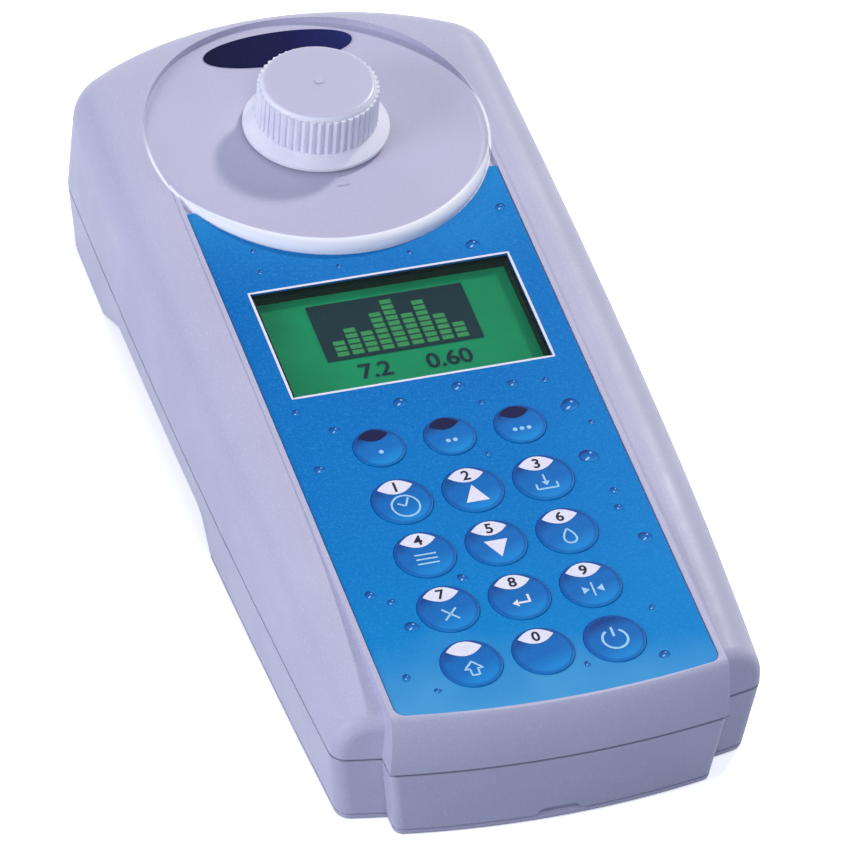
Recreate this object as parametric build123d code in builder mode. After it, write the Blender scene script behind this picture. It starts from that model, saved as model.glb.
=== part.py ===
"""Hand-held pool water photometer with keypad, display, optics, batteries and a capped sample vial.

Millimetres. X runs to the right, Y from the nose to the head, Z up from the surface it rests on.
The origin lies on that surface, under the middle of the housing.
"""
import os
from math import atan, cos, degrees, radians, sin, sqrt, tan

from build123d import *

os.makedirs("parts", exist_ok=True)

# Housing outline in plan, taken at the parting line
length = 214.0
half_width_front = 45.5
half_width_widest = 47.9
half_width_rear = 46.9
widest_y = 8.0
rear_bow = 15.2
rear_corner_r = 12.0
nose_bow = 3.0
lobe_bow = 4.8
nose_half_width = 35.8
nose_step = 5.3
front_y = -length / 2
rear_y = length / 2

# Housing in side view
parting_z = 17.4
tilt = 4.2
film_z = 37.45
film_lip = 0.3
slab_rise = 0.25
dip_start_y = -35.0
dip_r = 760.0
crown_from_rear = 22.0
crown_r = 105.0
shoulder_r = 9.0
lobe_r = 3.5
nose_round_depth = 3.8
nose_corner_r = 2.2
upper_draft = 1.5
side_lean = 2.3
end_lean = 0.6
wall = 2.4

# Arch under the middle of the housing, for the holding hand
arch_height = 10.0
arch_front_from_nose = 91.0
arch_front_run = 5.0
arch_rear_from_rear = 42.0
arch_rear_run = 16.5
arch_corner_r = 5.0

# Round deck around the vial
deck_z = 42.3
deck_r = 36.7
deck_rim_r = 2.2
vial_from_rear = 42.3
deck_from_vial = 1.0
vial_y = rear_y - vial_from_rear
deck_y = vial_y - deck_from_vial
deck_floor = 2.4

# Sample vial and its screw cap
vial_r = 12.0
vial_wall = 1.3
vial_floor = 2.0
neck_r = 10.0
neck_from_z = 41.2
shoulder_from_z = 38.0
vial_bottom_z = 5.0
vial_lip_z = 52.8
vial_clearance = 0.3
liner_thickness = 1.0
cap_brim_r = 15.6
cap_brim_height = 0.7
cap_skirt_r = 12.3
cap_rib_r = 0.7
cap_ribs = 48
cap_deck_gap = 0.9
cap_cone_height = 2.5
cap_top_thickness = 1.2
cap_edge_r = 1.2
cap_thread_gap = 0.35
cap_nub_r = 0.9
cap_nub_height = 0.3

# Sample chamber, with its optics ring
chamber_wall = 1.9
chamber_floor = 1.4
ring_r = 23.5
ring_height = 10.0
optics_z = 19.0
stations = 6
station_bore_r = 3.05
light_port_r = 1.5
flange_r = 21.5
flange_thickness = 2.0
chamber_seal_height = 1.0
chamber_screw_circle_r = 18.7
chamber_screws_count = 3
chamber_screw_angle = 90.0
chamber_bite = 2.8
optics_board_r = 26.0
led_r = 2.5
led_rim = 0.4
led_rim_length = 1.0
well_gap = 0.4
filter_thickness = 1.5
optics_fit = 0.1
led_length = 7.0
photodiode_length = 3.0

# Keypad film
film_thickness = 0.5
film_half_width = 34.0
film_from_nose = 4.0
film_corner_r = 2.5
film_gap = 0.25
film_tip_from_deck = 18.0
film_deck_gap = 0.4

# Keys
key_pitch_x = 15.14
key_pitch_y = 15.35
key_r = 6.35
function_key_r = 5.4
key_gap = 0.12
key_flange = 0.7
key_flange_thickness = 0.5
key_crown = 0.25
key_travel = 0.4
key_run_gap = 0.05
key_stop_gap = 0.1
key_from_nose = 16.9
function_row_gap = 15.6
key_stem_r = 2.2
key_stem_gap = 0.4
pocket_floor = 1.4

# Display
window_width = 56.0
window_height = 30.7
window_from_nose = 111.6
window_thickness = 1.0
window_fit = 0.1
window_ledge = 0.7
glass_margin = 2.2
glass_thickness = 1.6
backlight_thickness = 1.6
frame_wall = 1.9
stack_gap = 0.05

# Main board
board_thickness = 1.6
board_half_width = 32.4
board_from_nose = 7.5
board_behind_window = 17.0
board_fit = 0.1
dome_height = 0.5
dome_r = 2.6
dome_slope = 40.0
board_boss_r = 2.6
chip_size = 14.0
chip_height = 1.4

# Batteries and their bay
cell_r = 7.25
cell_length = 49.5
cell_nub_r = 2.75
cell_nub_length = 1.0
cell_gap = 0.7
cells = 4
bay_wall = 1.4
bay_from_nose = 10.5
contact_thickness = 0.5
spring_length = 2.6
spring_r = 3.4
spring_slope = 20.0
cell_fit = 0.1

# Battery cover
cover_thickness = 1.8
cover_gap = 0.1
notch_width = 10.0
notch_slope = 1.7
notch_depth = 1.6
notch_height = 1.6
foot_floor = 2.2
seal_width = 1.2
seal_height = 1.0
seal_inset = 0.6

# Seam and seal at the parting line
seam_depth = 0.6
seam_height = 0.4
rim_seal_inset = 0.85
rim_seal_width = 0.8
rim_seal_height = 1.0
base_edge_r = 0.8

# Screws
screw_r = 1.5
screw_hole_r = 1.7
screw_pilot_gap = 0.05
screw_head_r = 2.75
screw_head_height = 1.6
head_gap = 0.2
boss_r = 3.8
small_screw_r = 1.1
small_head_r = 2.0
small_head_height = 1.2
screw_bite = 6.0
small_bite = 3.2
screw_x = 37.4
screw_rear_from_rear = 26.0
screw_front_from_nose = 49.0
screw_seat_z = 6.0
cover_screw_front_from_nose = 18.0
cover_screw_behind_arch = 7.0

# Badge on the deck
badge_length = 33.0
badge_width = 10.6
badge_thickness = 0.3
badge_from_vial = 27.2
mark_from_deck = 17.7
mark_r = 1.5
mark_height = 0.2

# Sizes worked out from the ones above
film_plane = Plane(origin=(0, 0, film_z), x_dir=(1, 0, 0), z_dir=(0, -sin(radians(tilt)), cos(radians(tilt))))
lobe_front_y = front_y + nose_step
nose_arc_r = (nose_half_width**2 + nose_bow**2) / (2 * nose_bow)
arch_front_y = front_y + arch_front_from_nose
arch_rear_y = rear_y - arch_rear_from_rear
shelf_z = cover_thickness
film_front_y = front_y + film_from_nose
film_tip_y = deck_y - film_tip_from_deck
window_y = front_y + window_from_nose
cap_brim_z = deck_z + cap_deck_gap
cap_skirt_z = cap_brim_z + cap_cone_height
liner_z = vial_lip_z + stack_gap
cap_inner_top_z = liner_z + liner_thickness + stack_gap
cap_top_z = cap_inner_top_z + cap_top_thickness
chamber_bore_r = vial_r + vial_clearance
chamber_r = chamber_bore_r + chamber_wall
chamber_bottom_z = vial_bottom_z - stack_gap - chamber_floor
well_r = chamber_r + well_gap
deck_under_z = deck_z - deck_floor
key_under = film_thickness + key_run_gap
pocket_depth = key_under + key_flange_thickness + key_travel + key_stop_gap
plate_depth = pocket_depth + pocket_floor
display_depth = plate_depth + stack_gap
board_depth = display_depth + glass_thickness + backlight_thickness + 2 * stack_gap
cell_pitch = 2 * cell_r + cell_gap
bay_half_width = cells * cell_pitch / 2
bay_front_y = front_y + bay_from_nose
bay_length = cell_length + cell_nub_length + spring_length + 2 * contact_thickness + cell_fit
cell_z = shelf_z + cell_fit + cell_r
bay_roof_z = cell_z + cell_r + cell_fit
head_screw_y = rear_y - screw_rear_from_rear
foot_screw_y = front_y + screw_front_from_nose
cover_screw_ys = (front_y + cover_screw_front_from_nose, arch_front_y - cover_screw_behind_arch)
board_front_y = front_y + board_from_nose
board_rear_y = window_y + window_height / 2 + board_behind_window
frame_half_height = window_height / 2 + glass_margin + frame_wall + stack_gap
board_screw_x = board_half_width - board_boss_r - 0.3
board_screw_ys = (
    board_front_y + board_boss_r + 0.5,
    window_y - frame_half_height - board_boss_r - 1,
    window_y + frame_half_height + board_boss_r + 1,
)
flange_top_z = deck_under_z - chamber_seal_height
axis_plane = Plane(origin=(0, vial_y, 0), x_dir=(1, 0, 0), z_dir=(0, -1, 0))
deck_axis_plane = Plane(origin=(0, deck_y, 0), x_dir=(1, 0, 0), z_dir=(0, -1, 0))
vial_axis = Axis((0, vial_y, 0), (0, 0, 1))
deck_axis = Axis((0, deck_y, 0), (0, 0, 1))
film_normal = Axis(film_plane.origin, film_plane.z_dir)
housing_screw_spots = [(s * screw_x, y) for s in (-1, 1) for y in (head_screw_y, foot_screw_y)]
cover_screw_spots = [(s * screw_x, y) for s in (-1, 1) for y in cover_screw_ys]
board_screw_places = [(s * board_screw_x, y / cos(radians(tilt))) for s in (-1, 1) for y in board_screw_ys]


def rim_z(y):
    """Height of the rim around the film at the distance y along the housing."""
    return film_z + film_lip / cos(radians(tilt)) + y * tan(radians(tilt))


def on_film(y):
    """Distance y along the housing, measured on the tilted film instead."""
    return y / cos(radians(tilt))


def film_level(depth):
    """Plane parallel to the film, the given depth under its upper face."""
    return film_plane.offset(-depth)


def key_spots():
    """Name, place on the film and radius of every key, row by row."""
    rows = [["1", "2", "3"], ["4", "5", "6"], ["7", "8", "9"], ["shift", "0", "on_off"]]
    front_row_y = front_y + key_from_nose
    top_row_y = front_row_y + (len(rows) - 1) * key_pitch_y
    spots = []
    for column, name in enumerate(["f1", "f2", "f3"]):
        spots.append((name, (column - 1) * key_pitch_x, on_film(top_row_y + function_row_gap), function_key_r))
    for row, names in enumerate(rows):
        for column, name in enumerate(names):
            spots.append((name, (column - 1) * key_pitch_x, on_film(top_row_y - row * key_pitch_y), key_r))
    return spots


def bow_at(half, bow, inset):
    """Bow of an end edge of the given half width and bow, once the outline is moved in."""
    r = (half**2 + bow**2) / (2 * bow) - inset
    return r - sqrt(r**2 - (half - inset) ** 2)


def shoulder_plan(inset=0.0, side=0.0, ends=0.0):
    """Plan of the housing without its nose: bowed sides, round head and curved lobe fronts."""
    front = half_width_front - side - inset
    widest = half_width_widest - side - inset
    rear = half_width_rear - side - inset
    head_y = rear_y - ends - inset
    lobe_y = lobe_front_y + ends + inset
    front_corner_y = lobe_y + bow_at(half_width_front, lobe_bow, inset)
    rear_corner_y = head_y - bow_at(half_width_rear, rear_bow, inset)
    with BuildSketch() as plan:
        with BuildLine():
            ThreePointArc((front, front_corner_y), (widest, widest_y), (rear, rear_corner_y))
            ThreePointArc((rear, rear_corner_y), (0, head_y), (-rear, rear_corner_y))
            ThreePointArc((-rear, rear_corner_y), (-widest, widest_y), (-front, front_corner_y))
            ThreePointArc((-front, front_corner_y), (0, lobe_y), (front, front_corner_y))
        make_face()
        fillet(plan.vertices().group_by(Axis.Y)[-1], rear_corner_r - inset)
    return plan.sketch


def nose_plan(inset=0.0, side=0.0, ends=0.0):
    """Plan of the nose, with its bowed front, reaching back into the housing."""
    half = nose_half_width - side - inset
    front = front_y + ends + inset
    bow = bow_at(nose_half_width, nose_bow, inset)
    with BuildSketch() as plan:
        with BuildLine():
            arc = ThreePointArc((-half, front + bow), (0, front), (half, front + bow))
            Polyline(arc @ 1, (half, 0), (-half, 0), arc @ 0)
        make_face()
    return plan.sketch


def full_plan(inset=0.0, side=0.0, ends=0.0):
    """Plan of the whole housing, nose and lobes together."""
    with BuildSketch() as plan:
        add(shoulder_plan(inset, side, ends))
        add(nose_plan(inset, side, ends))
    return plan.sketch


def shoulder_profile(drop):
    """Side view under the shoulders: straight, dipping to the nose and rounded off to the head."""
    crown_y = rear_y - crown_from_rear
    lower = slab_rise + drop
    with BuildSketch(Plane.YZ) as profile:
        with BuildLine():
            top = Line((dip_start_y, rim_z(dip_start_y) - lower), (crown_y, rim_z(crown_y) - lower))
            dip_turn = degrees((dip_start_y - front_y) / dip_r) + 0.5
            dip = JernArc(top @ 0, -1 * (top % 0), dip_r, dip_turn)
            crown_turn = degrees(crown_from_rear / crown_r) + 1
            crown = JernArc(top @ 1, top % 1, crown_r, -crown_turn)
            Polyline(crown @ 1, ((crown @ 1).X, 0), ((dip @ 1).X, 0), dip @ 1)
        make_face()
    return profile.sketch


def shoulder_form(inset=0.0):
    """Upper half without the nose, its long edges and its head well rounded."""
    with BuildPart() as form:
        with BuildSketch(Plane.XY.offset(parting_z)):
            add(shoulder_plan(inset))
        extrude(amount=film_z, taper=upper_draft)
        extrude(shoulder_profile(inset), amount=length, both=True, mode=Mode.INTERSECT)
        rim = form.edges().filter_by(
            lambda e: e.center().Z > parting_z + 1
            and e.center().Y > lobe_front_y + 2 * shoulder_r
            and abs(e.tangent_at(0.5).Z) < 0.5
            and (abs(e.center().X) > nose_half_width / 2 or e.center().Y > rear_y - crown_from_rear / 2)
        )
        fillet(rim, shoulder_r - inset)
        if not inset:
            front = form.faces().sort_by(Axis.Y)[0]
            fillet(front.edges().filter_by(lambda e: e.center().Z > parting_z + 0.01), lobe_r)
    return form.part


def nose_form(inset=0.0, top_inset=0.0):
    """Upper half of the nose and the flat slab behind it that carries the film."""
    front = front_y + inset
    top = rim_z(front + nose_round_depth) - parting_z - top_inset
    with BuildPart() as form:
        with BuildSketch(Plane.XY.offset(parting_z)):
            add(nose_plan(inset))
            with Locations((0, 0)):
                Rectangle(2 * (nose_half_width - inset), deck_y - 6, align=(Align.CENTER, Align.MIN))
        extrude(amount=film_z, taper=upper_draft)
        with BuildSketch(film_plane.offset(film_lip - top_inset)):
            Rectangle(2 * length, 2 * length)
        extrude(amount=length, mode=Mode.SUBTRACT)
        with BuildSketch(Plane.YZ):
            with Locations((front + nose_round_depth, parting_z)):
                Ellipse(nose_round_depth, top + 0.2)
            with Locations((front + nose_round_depth, 0)):
                Rectangle(nose_arc_r - nose_round_depth, 2 * film_z, align=(Align.MIN, Align.MIN))
            with Locations((front, 0)):
                Rectangle(nose_arc_r, parting_z, align=(Align.MIN, Align.MIN))
        revolve(axis=Axis((0, front + nose_arc_r, 0), (0, 0, 1)), mode=Mode.INTERSECT)
    return form.part


def arch_cutter(grow=0.0):
    """Space under the arch, run across the whole width and below the surface."""
    with BuildPart() as cutter:
        with BuildSketch(Plane.YZ) as profile:
            with BuildLine():
                Polyline(
                    (arch_front_y - arch_front_run, -arch_height),
                    (arch_front_y + arch_front_run, arch_height),
                    (arch_rear_y - arch_rear_run, arch_height),
                    (arch_rear_y + arch_rear_run, -arch_height),
                    close=True,
                )
            make_face()
            fillet(profile.vertices().group_by(Axis.Y)[-1], arch_corner_r)
            if grow:
                offset(amount=grow)
        extrude(amount=length, both=True)
    return cutter.part


def lower_form(inset=0.0):
    """Lower half down to the surface, its sides leaning in towards the base."""
    with BuildPart() as form:
        for plan in (shoulder_plan, nose_plan):
            with BuildSketch(Plane.XY.offset(parting_z)) as upper:
                add(plan(inset))
            with BuildSketch() as lower:
                add(plan(inset, side_lean, end_lean))
            loft(sections=[upper.sketch, lower.sketch], ruled=True)
        if not inset:
            uprights = form.edges().filter_by(lambda e: abs(e.tangent_at(0.5).Z) > 0.9)
            corners = uprights.filter_by(lambda e: e.center().Y < lobe_front_y + lobe_bow + 1)
            fillet(corners.filter_by(lambda e: abs(e.center().X) > nose_half_width + 2), lobe_r)
            fillet(corners.filter_by(lambda e: e.center().Y < lobe_front_y - 1), nose_corner_r)
            fillet(form.faces().sort_by(Axis.Z)[0].edges(), base_edge_r)
    return form.part


def section_plan(z, inset=0.0):
    """Plan of the lower half at the height z."""
    lean = (parting_z - z) / parting_z
    return full_plan(inset, side_lean * lean, end_lean * lean)


def film_outline(grow, back_y):
    """Outline of the film on its own plane, its front bowed like the nose."""
    half = film_half_width + grow
    front = film_front_y - grow
    bow = nose_bow * (half / nose_half_width) ** 2
    with BuildSketch() as outline:
        with BuildLine():
            arc = ThreePointArc((-half, on_film(front + bow)), (0, on_film(front)), (half, on_film(front + bow)))
            Polyline(arc @ 1, (half, on_film(back_y)), (-half, on_film(back_y)), arc @ 0)
        make_face()
        fillet(outline.vertices().group_by(Axis.Y)[0], film_corner_r)
    return outline.sketch


def save(builder, name):
    """Label a finished piece and write it."""
    builder.part.label = name
    export_step(builder.part, f"parts/{name}.step")


def upper_cavity():
    """Space inside the upper housing, less the bosses that stay solid in it."""
    with BuildPart() as cavity:
        add(shoulder_form(wall))
        add(nose_form(wall, plate_depth + film_lip))
        with BuildSketch(film_level(plate_depth)):
            Rectangle(2 * length, 2 * length)
        extrude(amount=length, mode=Mode.SUBTRACT)
        with BuildSketch(Plane.XY.offset(deck_under_z)):
            with Locations((0, deck_y)):
                Circle(deck_r + wall)
        extrude(amount=length, mode=Mode.SUBTRACT)
        with BuildSketch(Plane.XY.offset(parting_z)):
            with Locations((0, deck_y)):
                Circle(deck_r - wall)
        extrude(amount=deck_under_z - parting_z)
        with BuildSketch(Plane.XY.offset(parting_z)):
            with Locations(*housing_screw_spots):
                Circle(boss_r)
        extrude(amount=length, mode=Mode.SUBTRACT)
        with BuildSketch(film_level(board_depth)):
            with Locations(*board_screw_places):
                Circle(board_boss_r)
        extrude(amount=length, mode=Mode.SUBTRACT)
        with BuildSketch(Plane.XY.offset(flange_top_z)):
            with Locations((0, vial_y)):
                with PolarLocations(chamber_screw_circle_r, chamber_screws_count, chamber_screw_angle):
                    Circle(board_boss_r)
        extrude(amount=length, mode=Mode.SUBTRACT)
    return cavity.part


def upper_housing_piece():
    """Top shell: rounded shoulders, raised slab with the film's recess, and the round deck."""
    spots = key_spots()
    with BuildPart() as upper_housing:
        add(shoulder_form())
        add(nose_form())
        with BuildSketch(film_level(film_thickness)):
            add(film_outline(film_gap, deck_y))
        extrude(amount=length, mode=Mode.SUBTRACT)
        with BuildSketch(deck_axis_plane) as boss:
            with Locations((0, parting_z)):
                Rectangle(deck_r, deck_z - parting_z, align=(Align.MIN, Align.MIN))
            fillet(boss.vertices().group_by(Axis.Y)[-1].sort_by(Axis.X)[-1], deck_rim_r)
        revolve(axis=deck_axis)
        with BuildSketch(Plane.XY.offset(deck_z)):
            with Locations((0, deck_y)):
                Circle(deck_r)
        extrude(amount=length, mode=Mode.SUBTRACT)
        add(upper_cavity(), mode=Mode.SUBTRACT)
        with BuildSketch(Plane.XY.offset(deck_z)):
            with Locations((0, deck_y - mark_from_deck)):
                RegularPolygon(mark_r, 3, rotation=90)
        extrude(amount=mark_height)
        with BuildSketch(Plane.XY.offset(deck_z)):
            with Locations((0, vial_y)):
                Circle(chamber_bore_r + well_gap)
        extrude(amount=-2 * deck_floor, mode=Mode.SUBTRACT)
        with BuildSketch(film_level(pocket_depth)):
            x_reach = key_pitch_x + key_r + key_flange + key_gap
            front = spots[-1][2] - key_r - key_flange - key_gap
            back = spots[0][2] + function_key_r + key_flange + key_gap
            with Locations((0, (front + back) / 2)):
                RectangleRounded(2 * x_reach, back - front, key_r)
        extrude(amount=pocket_depth - film_thickness, mode=Mode.SUBTRACT)
        with BuildSketch(film_level(0)):
            with Locations(*[(x, y) for _, x, y, _ in spots]):
                Circle(key_stem_r + key_stem_gap)
        extrude(amount=-2 * plate_depth, mode=Mode.SUBTRACT)
        with BuildSketch(film_level(window_thickness)):
            with Locations((0, on_film(window_y))):
                Rectangle(window_width, window_height)
        extrude(amount=window_thickness, mode=Mode.SUBTRACT)
        with BuildSketch(film_level(0)):
            with Locations((0, on_film(window_y))):
                Rectangle(window_width - 2 * window_ledge, window_height - 2 * window_ledge)
        extrude(amount=-2 * plate_depth, mode=Mode.SUBTRACT)
        with BuildSketch(Plane.XY.offset(parting_z)):
            with Locations(*housing_screw_spots):
                Circle(screw_r + screw_pilot_gap)
        extrude(amount=screw_bite + head_gap, mode=Mode.SUBTRACT)
        with BuildSketch(film_level(board_depth)):
            with Locations(*board_screw_places):
                Circle(small_screw_r + screw_pilot_gap)
        extrude(amount=small_bite + head_gap, mode=Mode.SUBTRACT)
        with BuildSketch(Plane.XY.offset(flange_top_z)):
            with Locations((0, vial_y)):
                with PolarLocations(chamber_screw_circle_r, chamber_screws_count, chamber_screw_angle):
                    Circle(small_screw_r + screw_pilot_gap)
        extrude(amount=chamber_bite, mode=Mode.SUBTRACT)
    save(upper_housing, "upper_housing")


def lower_cavity():
    """Space inside the lower housing, less the bosses that stay solid in it."""
    with BuildPart() as cavity:
        add(lower_form(wall))
        add(arch_cutter(wall), mode=Mode.SUBTRACT)
        with BuildSketch() as floor:
            Rectangle(length, 2 * length)
        extrude(amount=wall, mode=Mode.SUBTRACT)
        with BuildSketch():
            with Locations((0, arch_front_y)):
                Rectangle(length, length, align=(Align.CENTER, Align.MAX))
        extrude(amount=shelf_z + foot_floor, mode=Mode.SUBTRACT)
        with BuildSketch():
            with Locations(*housing_screw_spots, *cover_screw_spots):
                Circle(boss_r)
        extrude(amount=parting_z, mode=Mode.SUBTRACT)
        with BuildSketch(Plane.XY.offset(chamber_bottom_z - stack_gap)):
            with Locations((0, vial_y)):
                Circle(well_r)
        extrude(amount=parting_z)
    return cavity.part


def bay_sketch(grow, z):
    """Plan of the battery bay at the height z."""
    with BuildSketch(Plane.XY.offset(z)) as plan:
        with Locations((0, bay_front_y - grow)):
            Rectangle(2 * (bay_half_width + grow), bay_length + 2 * grow, align=(Align.CENTER, Align.MIN))
    return plan.sketch


def seal_ring_plan():
    """Plan of the seal around the battery bay."""
    with BuildSketch(Plane.XY.offset(shelf_z)) as ring:
        with Locations((0, bay_front_y + bay_length / 2)):
            for grow, mode in ((seal_inset + seal_width, Mode.ADD), (seal_inset, Mode.SUBTRACT)):
                RectangleRounded(2 * (bay_half_width + grow), bay_length + 2 * grow, grow, mode=mode)
    return ring.sketch


def rim_seal_plan():
    """Plan of the seal in the rim of the lower housing."""
    with BuildSketch(Plane.XY.offset(parting_z)) as ring:
        add(full_plan(rim_seal_inset))
        add(full_plan(rim_seal_inset + rim_seal_width), mode=Mode.SUBTRACT)
    return ring.sketch


def lower_housing_piece():
    """Bottom shell: leaning sides, arch for the hand, round well, battery bay and screw bosses."""
    with BuildPart() as lower_housing:
        add(lower_form())
        add(arch_cutter(), mode=Mode.SUBTRACT)
        with BuildSketch():
            with Locations((0, vial_y)):
                Circle(well_r + wall)
        extrude(amount=arch_height + wall)
        add(lower_cavity(), mode=Mode.SUBTRACT)
        extrude(bay_sketch(bay_wall, shelf_z), amount=bay_roof_z + bay_wall - shelf_z)
        extrude(bay_sketch(0, shelf_z), amount=bay_roof_z - shelf_z, mode=Mode.SUBTRACT)
        with BuildSketch():
            with Locations((0, arch_front_y + arch_front_run)):
                Rectangle(length, length, align=(Align.CENTER, Align.MAX))
        extrude(amount=shelf_z, mode=Mode.SUBTRACT)
        with BuildSketch(Plane.XY.offset(parting_z)):
            add(full_plan(-seam_depth))
            add(full_plan(seam_depth), mode=Mode.SUBTRACT)
        extrude(amount=-seam_height, mode=Mode.SUBTRACT)
        extrude(rim_seal_plan(), amount=-rim_seal_height, mode=Mode.SUBTRACT)
        extrude(seal_ring_plan(), amount=seal_height, mode=Mode.SUBTRACT)
        with BuildSketch():
            with Locations(*housing_screw_spots):
                Circle(screw_head_r + head_gap)
        extrude(amount=screw_seat_z, mode=Mode.SUBTRACT)
        with BuildSketch():
            with Locations(*housing_screw_spots):
                Circle(screw_hole_r)
        extrude(amount=parting_z, mode=Mode.SUBTRACT)
        with BuildSketch(Plane.XY.offset(shelf_z)):
            with Locations(*cover_screw_spots):
                Circle(small_screw_r + screw_pilot_gap)
        extrude(amount=screw_bite + head_gap, mode=Mode.SUBTRACT)
        with BuildSketch(Plane.XZ.offset(-front_y + 1)):
            with Locations((0, shelf_z)):
                Trapezoid(notch_width, notch_height, 180 - degrees(atan(notch_height / notch_slope)) - 90,
                          align=(Align.CENTER, Align.MIN))
        extrude(amount=-notch_depth - 1, mode=Mode.SUBTRACT)
    save(lower_housing, "lower_housing")


def battery_cover_piece():
    """Plate under the whole foot, flush with the sides, held by four small screws."""
    with BuildPart() as battery_cover:
        add(lower_form())
        add(arch_cutter(), mode=Mode.SUBTRACT)
        with BuildSketch(Plane.XY.offset(cover_thickness - cover_gap)):
            Rectangle(length, 2 * length)
        extrude(amount=parting_z, mode=Mode.SUBTRACT)
        with BuildSketch():
            with Locations((0, arch_front_y + arch_front_run)):
                Rectangle(length, length, align=(Align.CENTER, Align.MIN))
        extrude(amount=parting_z, mode=Mode.SUBTRACT)
        seam_z = cover_thickness - cover_gap
        with BuildSketch(Plane.XY.offset(seam_z)):
            add(section_plan(seam_z, -seam_depth))
            add(section_plan(seam_z, seam_depth), mode=Mode.SUBTRACT)
        extrude(amount=-seam_height, mode=Mode.SUBTRACT)
        with BuildSketch():
            with Locations(*cover_screw_spots):
                Circle(small_head_r + head_gap)
        extrude(amount=small_head_height + stack_gap, mode=Mode.SUBTRACT)
        with BuildSketch():
            with Locations(*cover_screw_spots):
                Circle(small_screw_r + head_gap)
        extrude(amount=cover_thickness, mode=Mode.SUBTRACT)
    save(battery_cover, "battery_cover")


def screw_group(name, spots, plane, seat, r, head_r, head_height, shank):
    """A group of pan-head screws whose heads lie under their seat in the plane."""
    with BuildPart() as screws:
        with BuildSketch(plane.offset(seat)):
            with Locations(*spots):
                Circle(head_r)
        extrude(amount=-head_height)
        with BuildSketch(plane.offset(seat)):
            with Locations(*spots):
                Circle(r)
        extrude(amount=shank)
    save(screws, name)


def seal_pieces():
    """Seals of the parting line and of the battery bay, and the gasket over the chamber."""
    with BuildPart() as housing_seal:
        extrude(rim_seal_plan(), amount=-rim_seal_height)
    save(housing_seal, "housing_seal")
    with BuildPart() as battery_cover_seal:
        extrude(seal_ring_plan(), amount=seal_height)
    save(battery_cover_seal, "battery_cover_seal")
    with BuildPart() as chamber_seal:
        with BuildSketch(Plane.XY.offset(flange_top_z)):
            with Locations((0, vial_y)):
                Circle(chamber_screw_circle_r - board_boss_r - head_gap)
                Circle(chamber_bore_r + well_gap, mode=Mode.SUBTRACT)
        extrude(amount=chamber_seal_height)
    save(chamber_seal, "chamber_seal")


def battery_pieces():
    """Four cells side by side, and the contacts at both ends of each."""
    rear_contact_y = bay_front_y + bay_length - contact_thickness
    centres = [(i - (cells - 1) / 2) * cell_pitch for i in range(cells)]
    spring_at_front = [i % 2 == 0 for i in range(cells)]
    with BuildPart() as batteries:
        for x, spring in zip(centres, spring_at_front):
            nub_first = 0 if spring else cell_nub_length
            start = bay_front_y + contact_thickness + (spring_length if spring else 0) + cell_fit / 2 + nub_first
            nub = start + cell_length if spring else start - cell_nub_length
            with BuildSketch(Plane((x, start, cell_z), (1, 0, 0), (0, 1, 0))):
                Circle(cell_r)
            extrude(amount=cell_length)
            with BuildSketch(Plane((x, nub, cell_z), (1, 0, 0), (0, 1, 0))):
                Circle(cell_nub_r)
            extrude(amount=cell_nub_length)
    save(batteries, "batteries")
    with BuildPart() as battery_contacts:
        for x, spring in zip(centres, spring_at_front):
            for y in (bay_front_y, rear_contact_y):
                with BuildSketch(Plane((x, y, cell_z), (1, 0, 0), (0, 1, 0))):
                    Rectangle(1.4 * cell_r, 1.4 * cell_r)
                extrude(amount=contact_thickness)
            foot = bay_front_y + contact_thickness if spring else rear_contact_y
            with BuildSketch(Plane((x, foot, cell_z), (1, 0, 0), (0, 1 if spring else -1, 0))):
                Circle(spring_r)
            extrude(amount=spring_length, taper=spring_slope)
    save(battery_contacts, "battery_contacts")


def keypad_film_piece():
    """Printed film with the window's opening and a round opening for every key."""
    with BuildPart() as keypad_film:
        with BuildSketch(film_level(film_thickness)):
            add(film_outline(0, film_tip_y))
            with Locations((0, on_film(deck_y))):
                Circle(deck_r + film_deck_gap, mode=Mode.SUBTRACT)
            with Locations((0, on_film(window_y))):
                Rectangle(window_width, window_height, mode=Mode.SUBTRACT)
            for _, x, y, r in key_spots():
                with Locations((x, y)):
                    Circle(r + key_gap, mode=Mode.SUBTRACT)
        extrude(amount=film_thickness)
    save(keypad_film, "keypad_film")


def key_pieces():
    """Round keys, each with a flange under the film and a stem over its snap dome."""
    stem_depth = board_depth - dome_height - key_travel - key_stop_gap
    for name, x, y, r in key_spots():
        with BuildPart() as key:
            with BuildSketch(film_level(key_under)):
                with Locations((x, y)):
                    Circle(r)
            extrude(amount=key_under + key_crown)
            fillet(key.faces().sort_by(film_normal)[-1].edges(), key_crown)
            with BuildSketch(film_level(key_under)):
                with Locations((x, y)):
                    Circle(r + key_flange)
            extrude(amount=-key_flange_thickness)
            with BuildSketch(film_level(key_under + key_flange_thickness)):
                with Locations((x, y)):
                    Circle(key_stem_r)
            extrude(amount=key_under + key_flange_thickness - stem_depth)
        save(key, f"key_{name}")


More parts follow.
